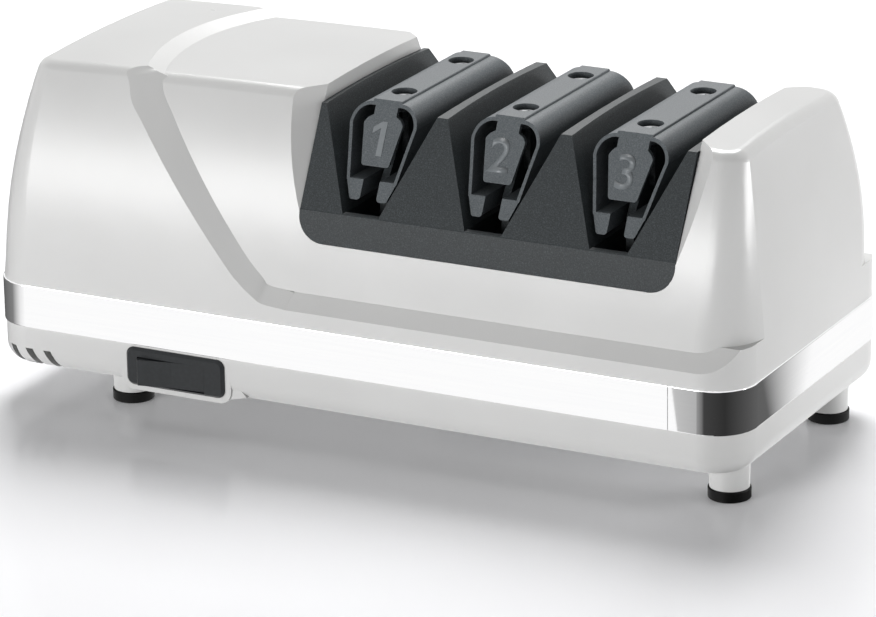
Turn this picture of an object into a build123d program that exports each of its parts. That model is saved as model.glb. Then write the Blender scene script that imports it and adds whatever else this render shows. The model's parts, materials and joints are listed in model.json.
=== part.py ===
from build123d import *
import math
import os

# Electric knife sharpener with three guided stages.
# Millimetres.  +X to the right along the length, +Y to the back, +Z up,
# origin on the table under the middle of the trim band.

os.makedirs("parts", exist_ok=True)

# ---------------------------------------------------------------- driving sizes
LENGTH = 250.0               # over the trim band
DEPTH = 109.0                # over the trim band
BAND_BOTTOM_Z = 24.4
BAND_TOP_Z = 38.0
BAND_CORNER = 13.1
BAND_THICK = 0.8
BAND_PROUD = 0.5             # how far the band stands out of the shells
BAND_SEAM_X = LENGTH / 2 - 22.1
BAND_SEAM_GAP = 0.2
WALL = 2.5                   # moulded wall of both shells
HALF_X = LENGTH / 2 - BAND_PROUD    # end faces of the shells
HALF_Y = DEPTH / 2 - BAND_PROUD     # front and back faces

FRONT_BEND_Z = 46.0          # where the walls start to lean in
FRONT_BEND_R = 128.0
RIGHT_BEND_R = 224.0
LEFT_LEAN_DEG = 5.6
LEFT_BEND_R = 575.0
RECESS = 4.0                 # front wall of the guide section behind the motor block's
MOTOR_CORNER = 12.6
GUIDE_CORNER = 16.0
TOP_CORNER = 6.0             # upright corners at the shoulder
ROOF_Z = 106.2
ROOF_STEP = 2.0              # motor block roof above the guide section's
ROOF_CROSS_R = 600.0
ROOF_LONG_R = 3000.0
SHOULDER_R = 4.5
STEP_RUN = 1.6               # the step's ramp, along the wall per unit inwards
LEDGE_Z = 42.7

BASE_BOTTOM_Z = 11.3
BASE_EDGE_R = 6.0
SPLIT_Z = 31.2               # joint of the two shells behind the band
TONGUE_HEIGHT = 2.8
RIM_EXTRA = 0.4              # extra wall of the top housing's skirt
END_REACH = 0.05             # the guide section's end lies just outside the motor block's
TONGUE_THICK = 1.6
FIT = 0.05                   # seated fits
CLEAR = 0.1                  # loose fits

FOOT_LEFT_X = 39.1 - HALF_X
FOOT_RIGHT_X = HALF_X - 10.4
FOOT_Y = HALF_Y - 17.8
FOOT_R = 6.35
FOOT_HEIGHT = 3.4
STEM_R = 5.9
STEM_TOP_R = 6.2
SPIGOT_R = 2.9

OPENING_LENGTH = 121.4
OPENING_RIGHT_X = HALF_X - 22.4
OPENING_LEFT_X = OPENING_RIGHT_X - OPENING_LENGTH
OPENING_BOTTOM_Z = 62.9
OPENING_CORNER = 8.0
FACET_FRONT_Y = HALF_Y - 6.5  # lower point of each corner facet
FACET_FRONT_Z = 71.5
FACET_SIDE_X = 7.3           # how far the facet reaches into the block
FACET_SIDE_Y = HALF_Y - 15.1
FACET_SIDE_Z = 99.4
FACET_INNER_Y = HALF_Y - 24.0
FACET_INNER_Z = 102.3

STEP_FOOT_X = OPENING_LEFT_X - 13.1  # corners of the S-shaped edge before rounding
STEP_FOOT_R = 19.0
STEP_TOP_X = STEP_FOOT_X - 49.4
STEP_TOP_Z = 101.7
STEP_TOP_R = 12.0
STEP_POINTS = 16
ROOF_EDGE_X = STEP_TOP_X + 0.2       # roof step on the centre line
ROOF_EDGE_R = 135.0
ROOF_RAMP_RUN = 3.0

STAGES = 3
STAGE_PITCH = 40.0
STAGE_SHIFT = -0.6           # stages stand this far off the opening's middle
LIP_TOP_Z = 72.3
RIDGE_TOP_Z = 101.8
RIDGE_END_Z = 99.5
RIDGE_END_Y = HALF_Y - 21.5
RIDGE_LEAN_DEG = 27.2
SLOT_HALF = 5.9
FLANK_DEG = 23.6
INSERT_WALL = 2.2
SLOT_FLOOR_Z = 65.5
DISC_ROOM_Y = 24.5

PAD_TOP_Z = 103.0
PAD_Y = HALF_Y - 25.6
PAD_HALF = 4.7
LAST_PAD_HALF = 5.6
PAD_RAISE = 0.7              # pad above the round of the crown
ARCH_HALF = 11.0             # widest half of a guide's arch
LAST_ARCH_HALF = 11.8
CROWN_THICK = 1.0
PAD_UNDER_Z = 98.0
SHOULDER_Z = 89.6            # foot of the crown, where the arms hang
GUIDE_LEAN_DEG = 27.6
HOLE_Y = PAD_Y - 10.1
HOLE_R = 3.9
HOLE_FLOOR_Z = 99.6
TONGUE_NECK = 7.4
LAST_TONGUE_NECK = 9.8
TONGUE_WIDE = 12.8
LAST_TONGUE_WIDE = 14.0
TONGUE_TIP = 8.9
TONGUE_NECK_Z = 98.8
TONGUE_WIDE_Z = 96.6
TONGUE_TIP_Z = 85.2
TONGUE_SHEET = 1.2
ARM_FOOT_X = 8.2
ARM_FOOT_Z = 81.5
ARM_SOLE_X = 6.0
ARM_SOLE_Z = 76.0
ARM_INNER_X = 2.7
BOSS_R = 4.9                 # round the screw recesses under the pad

SHAFT_Z = 52.0
SHAFT_R = 3.0
SHAFT_LEFT_X = 13.5 - HALF_X
SHAFT_RIGHT_X = HALF_X - 9.5
DISC_R = 24.0
POLISH_DISC_R = 25.5
DISC_RIM_OUT = 5.4           # rim's outer face from the stage plane
DISC_RIM_IN = 3.9
DISC_HUB_OUT = 4.6
DISC_HUB_IN = 1.6
DISC_HUB_R = 7.5
DISC_WEB_IN = 3.2
DISC_TRAVEL = 0.8
SPRING_WIRE = 1.0
KEY_WIDTH = 1.5
KEY_HEIGHT = 1.2

CORE_LEFT_X = 30.5 - HALF_X
CORE_RIGHT_X = CORE_LEFT_X + 34.0
CORE_FRONT_Y = -24.0
CORE_BACK_Y = 38.0
CORE_BOTTOM_Z = 24.0
CORE_TOP_Z = 80.0
ROTOR_R = 16.0
AIR_GAP = 0.3
LEG_FRONT_Y = 30.0
WINDOW_FRONT_Y = 20.5
WINDOW_HEIGHT = 32.0
COIL_BUILD = 6.0
BRACKET_REACH = 14.0
BRACKET_WIDTH = 16.0
BRACKET_THICK = 2.5
BUSH_R = 6.0
FAN_LEFT_X = CORE_RIGHT_X + 18.0
FAN_WIDTH = 10.0
FAN_R = 22.0
FAN_BLADES = 8
END_BRACKET_X = HALF_X - 16.5
END_BRACKET_HALF = 13.0

BEZEL_LEFT_X = 48.2 - HALF_X
BEZEL_RIGHT_X = BEZEL_LEFT_X + 33.7
BEZEL_BOTTOM_Z = 11.7
BEZEL_TOP_Z = 23.7
BEZEL_CORNER = 2.5
BEZEL_THICK = 1.15
ROCKER_X = BEZEL_LEFT_X + 15.6
ROCKER_Z = 16.75
ROCKER_WINDOW = 23.0
ROCKER_HEIGHT = 8.1
ROCKER_TILT_DEG = 8.0
ROCKER_PIVOT_DEEP = 1.0      # pivot behind the shell's front face
SURROUND_MARGIN = 2.0
SURROUND_BOTTOM_Z = 10.0

VENTS = 3
VENT_PITCH = 6.35
VENT_WIDTH = 2.6
VENT_TOP_Z = 17.6
VENT_RIGHT_X = 20.9 - HALF_X
VENT_SLANT = 0.5

COVER_LEFT_X = OPENING_LEFT_X + 23.3
COVER_LENGTH = 76.0
COVER_HALF = 17.5
COVER_THICK = 1.8
COVER_TRAVEL = 30.0
RAIL_THICK = 2.6

SCREW_R = 1.5
SCREW_HEAD_R = 2.9
SCREW_HEAD = 1.8

# ---------------------------------------------------------------- derived values
SKIRT_X = LENGTH / 2 - BAND_THICK - FIT
SKIRT_Y = DEPTH / 2 - BAND_THICK - FIT
SKIRT_CORNER = BAND_CORNER - BAND_THICK - FIT
RIM_X = HALF_X - WALL - RIM_EXTRA
RIM_Y = HALF_Y - WALL - RIM_EXTRA
RIM_CORNER = MOTOR_CORNER - WALL - RIM_EXTRA
MIDDLE_X = (OPENING_LEFT_X + OPENING_RIGHT_X) / 2
OPENING_HALF = (OPENING_RIGHT_X - OPENING_LEFT_X) / 2
FLANK = math.tan(math.radians(FLANK_DEG))
RIDGE_LEAN = math.tan(math.radians(RIDGE_LEAN_DEG))
GUIDE_LEAN = math.tan(math.radians(GUIDE_LEAN_DEG))
FLOOR_Z = BASE_BOTTOM_Z + WALL
FLANGE_Z = OPENING_BOTTOM_Z - WALL


def stage_x(i):
    return MIDDLE_X + STAGE_SHIFT + (i - (STAGES - 1) / 2) * STAGE_PITCH


def save(node, shape):
    export_step(shape, "parts/" + node + ".step")


def box(x0, x1, y0, y1, z0, z1):
    centre = Pos((x0 + x1) / 2, (y0 + y1) / 2, (z0 + z1) / 2)
    return centre * Box(abs(x1 - x0), abs(y1 - y0), abs(z1 - z0))


def rod_x(x0, x1, y, z, r):
    return Pos((x0 + x1) / 2, y, z) * Rot(0, 90, 0) * Cylinder(r, abs(x1 - x0))


def rod_y(x, y0, y1, z, r):
    return Pos(x, (y0 + y1) / 2, z) * Rot(90, 0, 0) * Cylinder(r, abs(y1 - y0))


def rod_z(x, y, z0, z1, r):
    return Pos(x, y, (z0 + z1) / 2) * Cylinder(r, abs(z1 - z0))


def prism_y(points, y0, y1):
    # outline given as (x, z), running from y0 to y1
    wire = Polyline(*[(x, y0, z) for x, z in points], close=True)
    face = make_face(wire)
    return extrude(face, amount=y1 - y0, dir=(0, 1, 0))


def prism_x(points, x0, x1):
    # outline given as (y, z), running from x0 to x1
    wire = Polyline(*[(x0, y, z) for y, z in points], close=True)
    face = make_face(wire)
    return extrude(face, amount=x1 - x0, dir=(1, 0, 0))


def slab(half_x, half_y, corner, z0, z1):
    return extrude(Pos(0, 0, z0) * RectangleRounded(2 * half_x, 2 * half_y, corner), amount=z1 - z0)


# ---------------------------------------------------------------- moulded body
def bend(z, radius):
    rise = max(z - FRONT_BEND_Z, 0)
    return radius - math.sqrt(radius ** 2 - rise ** 2)


def left_lean(z):
    rise = max(z - BAND_TOP_Z, 0)
    return rise * math.tan(math.radians(LEFT_LEAN_DEG)) + rise ** 2 / (2 * LEFT_BEND_R)


def body_section(z, back, inset, corner, reach):
    left = HALF_X - left_lean(z) - inset + reach
    right = HALF_X - bend(z, RIGHT_BEND_R) - inset + reach
    half_y = HALF_Y - back - bend(z, FRONT_BEND_R) - inset
    share = max(z - FRONT_BEND_Z, 0) / (ROOF_Z - FRONT_BEND_Z)
    r = corner + (TOP_CORNER - corner) * min(share, 1) - inset
    return Pos((right - left) / 2, 0, z) * RectangleRounded(left + right, 2 * half_y, r)


def roof(level):
    top = math.sqrt(ROOF_CROSS_R ** 2 - (0.75 * DEPTH) ** 2) - ROOF_CROSS_R
    y = 0.75 * DEPTH
    arc = ThreePointArc((0, -y, level + top), (0, 0, level), (0, y, level + top))
    sides = Polyline((0, y, level + top), (0, y, -20), (0, -y, -20), (0, -y, level + top))
    face = make_face([arc, sides])
    turn = math.degrees(0.75 * LENGTH / ROOF_LONG_R)
    axis = Axis((0, 0, level - ROOF_LONG_R), (0, 1, 0))
    start = face.rotate(axis, -turn)
    return revolve(start, axis=axis, revolution_arc=2 * turn)


def body_form(back, corner, level, inset=0.0, reach=0.0):
    span = ROOF_Z + 8 - FRONT_BEND_Z
    heights = [BAND_TOP_Z, FRONT_BEND_Z] + [FRONT_BEND_Z + span * k / 4 for k in (1, 2, 3, 4)]
    walls = loft([body_section(z, back, inset, corner, reach) for z in heights])
    return walls & roof(level - inset)


def rounded(form):
    top = form.faces().sort_by(Axis.Z)[-1]
    return fillet(top.edges(), SHOULDER_R)


def step_path():
    # the S-shaped edge on the motor block's front, seen from the front
    return FilletPolyline(
        (STEP_TOP_X, 0, ROOF_Z + 2 * ROOF_STEP),
        (STEP_TOP_X, 0, STEP_TOP_Z),
        (STEP_FOOT_X, 0, LEDGE_Z),
        (STEP_FOOT_X + 0.85 * STEP_FOOT_R, 0, LEDGE_Z),
        radius=(STEP_TOP_R, STEP_FOOT_R),
    )


def step_profile(depth):
    # the edge where the ramp crosses a leaning plane this deep behind the front
    rise = (ROOF_Z - FRONT_BEND_Z) / 2
    lean = rise / math.sqrt(FRONT_BEND_R ** 2 - rise ** 2)
    path = step_path()
    points = []
    for k in range(STEP_POINTS + 1):
        at = path @ (k / STEP_POINTS)
        along = path % (k / STEP_POINTS)
        wall = bend(at.Z, FRONT_BEND_R) - lean * (at.Z - FRONT_BEND_Z)
        run = STEP_RUN * (depth - wall)
        points.append((at.X - along.Z * run, at.Z + along.X * run))
    left, first_z = points[0]
    end_x, ledge_z = points[-1]
    points += [(LENGTH, ledge_z), (LENGTH, first_z + 20), (left, first_z + 20), (left, first_z)]
    placed = [(x, -HALF_Y + depth + lean * (z - FRONT_BEND_Z), z) for x, z in points]
    edge = Spline(*placed[:STEP_POINTS + 1], tangents=[(0, -lean, -1), (1, 0, 0)])
    return make_face([edge, Polyline(*placed[STEP_POINTS:])])


def step_front():
    # everything to the right of the S-shaped edge, between a plane outside
    # the motor block's wall and one inside the guide section's
    rise = (ROOF_Z - FRONT_BEND_Z) / 2
    bulge = bend(FRONT_BEND_Z + rise, FRONT_BEND_R) - rise ** 2 / math.sqrt(FRONT_BEND_R ** 2 - rise ** 2)
    return loft([step_profile(bulge - 0.6), step_profile(RECESS + 1.6)], ruled=True)


def step_roof():
    above = 6.0
    z = ROOF_Z + above
    x = ROOF_EDGE_X - ROOF_RAMP_RUN * above
    y = DEPTH
    sag = ROOF_EDGE_R - math.sqrt(ROOF_EDGE_R ** 2 - y ** 2)
    arc = ThreePointArc((x + sag, -y, z), (x, 0, z), (x + sag, y, z))
    rest = Polyline((x + sag, y, z), (LENGTH, y, z), (LENGTH, -y, z), (x + sag, -y, z))
    way = Vector(ROOF_RAMP_RUN, 0, -1)
    return extrude(make_face([arc, rest]), amount=way.length * 40, dir=way)


def right_corners():
    # above the ledge, the right end's rounder corners go all the way in
    return box(HALF_X - 1.25 * GUIDE_CORNER, LENGTH, -DEPTH, DEPTH, LEDGE_Z + STEP_RUN * RECESS + 0.4, LENGTH)


def facet_cut(grow=0.0):
    # front left corner facet of the opening, as a large block on the facet's plane
    foot = Vector(OPENING_LEFT_X, -FACET_FRONT_Y, FACET_FRONT_Z)
    side = Vector(OPENING_LEFT_X - FACET_SIDE_X, -FACET_SIDE_Y, FACET_SIDE_Z)
    inner = Vector(OPENING_LEFT_X, -FACET_INNER_Y, FACET_INNER_Z)
    out = (inner - side).cross(foot - side).normalized()
    if out.X > 0:
        out = out * -1
    plane = Plane(origin=side + out * grow, x_dir=(inner - foot).normalized(), z_dir=out * -1)
    block = plane * Pos(0, 0, 20) * Box(160, 90, 40)
    return block & box(-45, OPENING_LEFT_X + 0.5, -70, -0.5 * FACET_INNER_Y, 60, 130)


def opening(grow, y_half, bottom):
    left = OPENING_LEFT_X - grow
    right = OPENING_RIGHT_X + grow
    profile = Plane.XZ * Pos(MIDDLE_X, (bottom + 140) / 2) * RectangleRounded(
        right - left, 140 - bottom, OPENING_CORNER + grow)
    form = extrude(profile, amount=y_half, both=True)
    for corner in (facet_cut(grow), mirror(facet_cut(grow), Plane.XZ)):
        form = form + corner
        middle = Plane(origin=(MIDDLE_X, 0, 0), z_dir=(1, 0, 0))
        form = form + mirror(corner, middle)
    return form


def screw_post(x, y, z0, z1, r):
    return rod_z(x, y, z0, z1, r)


HOUSING_SCREWS = [(x, s * y) for x, y in ((86.5 - HALF_X, HALF_Y - 8), (HALF_X - 26.5, HALF_Y - 8)) for s in (-1, 1)]
INSERT_SCREWS = [((stage_x(i) + stage_x(i + 1)) / 2, s * (HALF_Y - 13)) for i in range(STAGES - 1) for s in (-1, 1)]
CORE_SCREWS = [(x, y) for x in (CORE_LEFT_X + 6, CORE_RIGHT_X - 6) for y in (CORE_FRONT_Y + 6, CORE_BACK_Y - 6)]
BRACKET_SCREWS = [(END_BRACKET_X + 7, s * 8.0) for s in (-1, 1)]
POST_R = 4.2
POST_JOIN_Z = 36.0


def top_housing():
    proud = rounded(body_form(0, MOTOR_CORNER, ROOF_Z + ROOF_STEP))
    low = rounded(body_form(RECESS, GUIDE_CORNER, ROOF_Z, reach=END_REACH))
    front = step_front()
    cutter = front + mirror(front, Plane.XZ) + step_roof() + right_corners()
    outer = proud - (cutter - low)
    outer = outer + slab(SKIRT_X, SKIRT_Y, SKIRT_CORNER, SPLIT_Z, BAND_TOP_Z + 1)
    inner = body_form(RECESS, GUIDE_CORNER, ROOF_Z, WALL)
    wide = body_form(0, MOTOR_CORNER, ROOF_Z + ROOF_STEP, WALL)
    wide_end = ROOF_EDGE_X - 6
    hollow = inner & box(wide_end - 1, LENGTH, -DEPTH, DEPTH, 0, 140)
    hollow = hollow + (wide & box(-LENGTH, wide_end, -DEPTH, DEPTH, 0, 140))
    hollow = hollow + slab(RIM_X, RIM_Y, RIM_CORNER, SPLIT_Z - 1, BAND_TOP_Z + 0.5)
    hollow = hollow - opening(WALL, HALF_Y, FLANGE_Z)
    for x, y in HOUSING_SCREWS:
        hollow = hollow - screw_post(x, y, POST_JOIN_Z, 56, POST_R)
    shell = outer - hollow
    shell = shell - opening(0, DEPTH, OPENING_BOTTOM_Z)
    margin = 8.0
    shell = shell - box(OPENING_LEFT_X + margin, OPENING_RIGHT_X - margin, -38, 38, FLANGE_Z - 5, OPENING_BOTTOM_Z + 1)
    for x, y in HOUSING_SCREWS:
        shell = shell - rod_z(x, y, POST_JOIN_Z - 1, 50, SCREW_R + FIT)
    for x, y in INSERT_SCREWS:
        shell = shell - rod_z(x, y, FLANGE_Z - 1, OPENING_BOTTOM_Z + 1, SCREW_R + CLEAR)
    return shell


# ---------------------------------------------------------------- base
def cover_rail(side):
    y0 = COVER_HALF + CLEAR
    y1 = y0 + RAIL_THICK
    top = BASE_BOTTOM_Z
    bottom = top - COVER_THICK - RAIL_THICK / 2 - 2 * CLEAR
    x1 = COVER_LEFT_X + COVER_LENGTH + COVER_TRAVEL
    upright = box(COVER_LEFT_X - 2, x1, side * y0, side * y1, bottom, top + 0.5)
    lip = box(COVER_LEFT_X - 2, x1, side * (y0 - 2), side * y1, bottom, bottom + RAIL_THICK / 2)
    return upright + lip


def vent(k):
    right = VENT_RIGHT_X - k * VENT_PITCH
    low = BASE_BOTTOM_Z - 2
    shift = (VENT_TOP_Z - low) * VENT_SLANT
    points = [
        (right - VENT_WIDTH, VENT_TOP_Z),
        (right, VENT_TOP_Z),
        (right + shift, low),
        (right + shift - VENT_WIDTH, low),
    ]
    return prism_y(points, -HALF_Y - 2, -HALF_Y + 7)


def switch_surround():
    left = BEZEL_LEFT_X - SURROUND_MARGIN
    right = BEZEL_RIGHT_X + SURROUND_MARGIN
    top = BAND_BOTTOM_Z
    low = SURROUND_BOTTOM_Z
    profile = Plane.XZ * Pos((left + right) / 2, (low + top) / 2) * RectangleRounded(
        right - left, top - low, 4.0)
    boss = extrude(profile, amount=12).moved(Pos(0, -HALF_Y + 12, 0))
    upper = box(left, right, -HALF_Y, -HALF_Y + 12, low + 5, top)
    flare = prism_y([(right - 4, low + 0.6), (right - 4, top - 2), (right + 5, BASE_BOTTOM_Z + 1.5)],
                    -HALF_Y + 0.6, -HALF_Y + 12)
    return boss + upper + flare


def base_shell():
    outer = slab(HALF_X, HALF_Y, MOTOR_CORNER, BASE_BOTTOM_Z, BAND_BOTTOM_Z)
    bottom = outer.faces().sort_by(Axis.Z)[0]
    outer = fillet(bottom.edges(), BASE_EDGE_R)
    outer = outer + switch_surround()
    outer = outer + slab(SKIRT_X, SKIRT_Y, SKIRT_CORNER, BAND_BOTTOM_Z - 1, SPLIT_Z - FIT)
    hollow = slab(HALF_X - WALL, HALF_Y - WALL, MOTOR_CORNER - WALL, FLOOR_Z, SPLIT_Z + 1)
    floor_edge = hollow.faces().sort_by(Axis.Z)[0]
    hollow = fillet(floor_edge.edges(), BASE_EDGE_R - WALL)
    shell = outer - hollow
    tongue = slab(RIM_X + 1, RIM_Y + 1, RIM_CORNER + 1, SPLIT_Z - 4, SPLIT_Z - FIT)
    tongue = tongue + slab(RIM_X - CLEAR, RIM_Y - CLEAR, RIM_CORNER - CLEAR, SPLIT_Z - 4, SPLIT_Z + TONGUE_HEIGHT)
    inner = CLEAR + TONGUE_THICK
    bore = slab(RIM_X - inner, RIM_Y - inner, RIM_CORNER - inner, SPLIT_Z - 5, SPLIT_Z + 5)
    shell = shell + (tongue - bore)
    for x in (FOOT_LEFT_X, FOOT_RIGHT_X):
        for side in (-1, 1):
            y = side * FOOT_Y
            rise = BASE_BOTTOM_Z + 2 - FOOT_HEIGHT
            cone = Pos(x, y, FOOT_HEIGHT + rise / 2) * Cone(STEM_R, STEM_TOP_R, rise)
            shell = shell + cone + rod_z(x, y, 1.0, FOOT_HEIGHT + 1, SPIGOT_R)
    for x, y in HOUSING_SCREWS:
        shell = shell + rod_z(x, y, FLOOR_Z - 1, POST_JOIN_Z - FIT, POST_R - 0.2)
        shell = shell - rod_z(x, y, BASE_BOTTOM_Z - 1, BASE_BOTTOM_Z + 4, SCREW_HEAD_R + CLEAR)
        shell = shell - rod_z(x, y, BASE_BOTTOM_Z, POST_JOIN_Z + 1, SCREW_R + CLEAR)
    for x, y in CORE_SCREWS:
        shell = shell + rod_z(x, y, FLOOR_Z - 1, CORE_BOTTOM_Z - FIT, POST_R)
        shell = shell - rod_z(x, y, BASE_BOTTOM_Z - 1, BASE_BOTTOM_Z + 4, SCREW_HEAD_R + CLEAR)
        shell = shell - rod_z(x, y, BASE_BOTTOM_Z, CORE_BOTTOM_Z + 1, SCREW_R + CLEAR)
    for x, y in BRACKET_SCREWS:
        shell = shell + rod_z(x, y, BASE_BOTTOM_Z + 1, FLOOR_Z + 1.2, POST_R)
        shell = shell - rod_z(x, y, BASE_BOTTOM_Z + 1, FLOOR_Z + 2, SCREW_R)
    window = 5.0
    shell = shell - box(COVER_LEFT_X + window, COVER_LEFT_X + COVER_LENGTH - window,
                        -COVER_HALF + 3, COVER_HALF - 3, BASE_BOTTOM_Z - 1, FLOOR_Z + 1)
    for side in (-1, 1):
        shell = shell + cover_rail(side)
    for k in range(VENTS):
        shell = shell - vent(k) - mirror(vent(k), Plane.XZ)
    body_room = box(SWITCH_LEFT_X - FIT, SWITCH_RIGHT_X + FIT, -HALF_Y - 2, -HALF_Y + SWITCH_DEEP + CLEAR,
                    SWITCH_LOW_Z - FIT, SWITCH_HIGH_Z + FIT)
    shell = shell - body_room
    shell = shell - rod_y(GLAND_X, HALF_Y - 8, HALF_Y + 2, GLAND_Z, GLAND_R + FIT)
    shell = shell - rod_y(GLAND_X, HALF_Y - 8, HALF_Y - WALL, GLAND_Z, GLAND_R + 1.6)
    return shell


SWITCH_LEFT_X = BEZEL_LEFT_X + 2.3
SWITCH_RIGHT_X = BEZEL_RIGHT_X - 2.3
SWITCH_LOW_Z = BEZEL_BOTTOM_Z + 0.35
SWITCH_HIGH_Z = BEZEL_TOP_Z - 0.9
SWITCH_DEEP = 20.0
GLAND_X = 18.5 - HALF_X
GLAND_Z = 19.3
GLAND_R = 3.6


def trim_band():
    ring = slab(LENGTH / 2, DEPTH / 2, BAND_CORNER, BAND_BOTTOM_Z, BAND_TOP_Z)
    outer_edges = ring.faces().sort_by(Axis.Z)[-1].edges() + ring.faces().sort_by(Axis.Z)[0].edges()
    ring = fillet(outer_edges, 0.35)
    bore = slab(LENGTH / 2 - BAND_THICK, DEPTH / 2 - BAND_THICK, BAND_CORNER - BAND_THICK,
                BAND_BOTTOM_Z - 1, BAND_TOP_Z + 1)
    seam = box(BAND_SEAM_X - BAND_SEAM_GAP / 2, BAND_SEAM_X + BAND_SEAM_GAP / 2,
               -DEPTH, -DEPTH / 2 + 3, 0, 60)
    return ring - bore - seam


# ---------------------------------------------------------------- guide insert
def insert_profile(inset):
    # half outline on -Y, mirrored, as points (y, z) from the lip's foot upwards
    lip = HALF_Y - RECESS - bend(LIP_TOP_Z, FRONT_BEND_R) - inset
    end_y = RIDGE_END_Y - inset
    base_y = lip - 0.2
    end_z = LIP_TOP_Z + 0.3 + (base_y - end_y) / RIDGE_LEAN
    return lip, base_y, end_y, end_z


def insert_block():
    lip, base_y, end_y, end_z = insert_profile(0)
    low = OPENING_BOTTOM_Z + CLEAR
    under = low - 3
    foot = HALF_Y - RECESS - bend(under, FRONT_BEND_R)
    middle_z = (under + LIP_TOP_Z) / 2
    middle = HALF_Y - RECESS - bend(middle_z, FRONT_BEND_R)
    x0 = OPENING_LEFT_X - 2
    edges = [
        ThreePointArc((x0, -foot, under), (x0, -middle, middle_z), (x0, -lip, LIP_TOP_Z)),
        Polyline((x0, -lip, LIP_TOP_Z), (x0, -base_y, LIP_TOP_Z + 0.3), (x0, -end_y, end_z)),
        ThreePointArc((x0, -end_y, end_z), (x0, 0, RIDGE_TOP_Z), (x0, end_y, end_z)),
        Polyline((x0, end_y, end_z), (x0, base_y, LIP_TOP_Z + 0.3), (x0, lip, LIP_TOP_Z)),
        ThreePointArc((x0, lip, LIP_TOP_Z), (x0, middle, middle_z), (x0, foot, under)),
        Line((x0, foot, under), (x0, -foot, under)),
    ]
    block = extrude(make_face(edges), amount=2 * OPENING_HALF + 4, dir=(1, 0, 0))
    trim = Plane.XZ * Pos(MIDDLE_X, (low + 140) / 2) * RectangleRounded(
        2 * (OPENING_HALF - CLEAR), 140 - low, OPENING_CORNER - CLEAR)
    return block & extrude(trim, amount=DEPTH, both=True)


def slot_cut(s):
    top = 112.0
    low = LIP_TOP_Z + 0.3
    wide = SLOT_HALF + (top - low) * FLANK
    points = [(s - SLOT_HALF, low), (s + SLOT_HALF, low), (s + wide, top), (s - wide, top)]
    inside = HALF_Y - RECESS - bend(LIP_TOP_Z, FRONT_BEND_R) - WALL
    upper = prism_y(points, -DEPTH, DEPTH)
    lower = box(s - SLOT_HALF, s + SLOT_HALF, -inside, inside, SLOT_FLOOR_Z, low + 1)
    room = DISC_ROOM_Y
    disc_room = box(s - SLOT_HALF, s + SLOT_HALF, -room, room, OPENING_BOTTOM_Z - 1, low)
    return upper + lower + disc_room


def ridge_hollow(left, right):
    # room under a ridge whose foot runs from left to right
    lip, base_y, end_y, end_z = insert_profile(WALL)
    low = OPENING_BOTTOM_Z - 1
    rise = min(end_z - 2 - LIP_TOP_Z, ((right - left) / 2 - 0.8) / FLANK)
    top = LIP_TOP_Z + rise
    flank = rise * FLANK
    points = [
        (left, low), (right, low), (right, LIP_TOP_Z), (right - flank, top), (left + flank, top), (left, LIP_TOP_Z),
    ]
    high_y = lip - (top - LIP_TOP_Z) * RIDGE_LEAN
    sides = [
        (-lip, low), (lip, low), (lip, LIP_TOP_Z - 1), (high_y, top), (-high_y, top), (-lip, LIP_TOP_Z - 1),
    ]
    return prism_y(points, -DEPTH, DEPTH) & prism_x(sides, -LENGTH, LENGTH)


def guide_web(s, side):
    # thin web from the slot floor up to the crown's screw boss
    foot_z = SLOT_FLOOR_Z - 0.5
    top_z = PAD_UNDER_Z - FIT
    outline = [
        (HOLE_Y + 6.7, foot_z), (HOLE_Y + 14.7, foot_z), (HOLE_Y + 13.7, SLOT_FLOOR_Z + 13.5),
        (HOLE_Y + 5.2, top_z - 8), (HOLE_Y + 5.2, top_z), (HOLE_Y - 4.8, top_z),
        (HOLE_Y - 4.8, top_z - 10), (HOLE_Y + 6.7, SLOT_FLOOR_Z + 10.5),
    ]
    plate = prism_x([(side * y, z) for y, z in outline], s - 1.2, s + 1.2)
    boss = box(s - 3.4, s + 3.4, side * (HOLE_Y - 3.8), side * (HOLE_Y + 4.2), top_z - 12, top_z)
    return plate + boss


def guide_insert():
    form = insert_block()
    skin = INSERT_WALL
    for i in range(STAGES):
        form = form - slot_cut(stage_x(i))
    for i in range(STAGES - 1):
        left = stage_x(i) + SLOT_HALF + skin
        right = stage_x(i + 1) - SLOT_HALF - skin
        form = form - ridge_hollow(left, right)
    first = stage_x(0) - SLOT_HALF - skin
    last = stage_x(STAGES - 1) + SLOT_HALF + skin
    outer_left = OPENING_LEFT_X + skin
    outer_right = OPENING_RIGHT_X - skin
    keep = box(outer_left, outer_right, -DEPTH, DEPTH, 0, 140)
    form = form - (ridge_hollow(2 * outer_left - first, first) & keep)
    form = form - (ridge_hollow(last, 2 * outer_right - last) & keep)
    for x, y in INSERT_SCREWS:
        form = form + rod_z(x, y, OPENING_BOTTOM_Z + CLEAR, OPENING_BOTTOM_Z + 9, POST_R)
    for i in range(STAGES):
        for side in (-1, 1):
            form = form + guide_web(stage_x(i), side)
            form = form - rod_z(stage_x(i), side * HOLE_Y, 86.5, PAD_UNDER_Z + 1, SCREW_R - 0.1)
    for x, y in INSERT_SCREWS:
        form = form - rod_z(x, y, OPENING_BOTTOM_Z - 1, OPENING_BOTTOM_Z + 8, SCREW_R)
    return form


# ---------------------------------------------------------------- guides
def guide_trim():
    # side view that every guide piece is cut to
    low = SLOT_FLOOR_Z
    reach = PAD_Y + (PAD_TOP_Z - low) * GUIDE_LEAN
    return prism_x([(-reach, low), (reach, low), (PAD_Y, PAD_TOP_Z), (-PAD_Y, PAD_TOP_Z)], -LENGTH, LENGTH)


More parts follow.
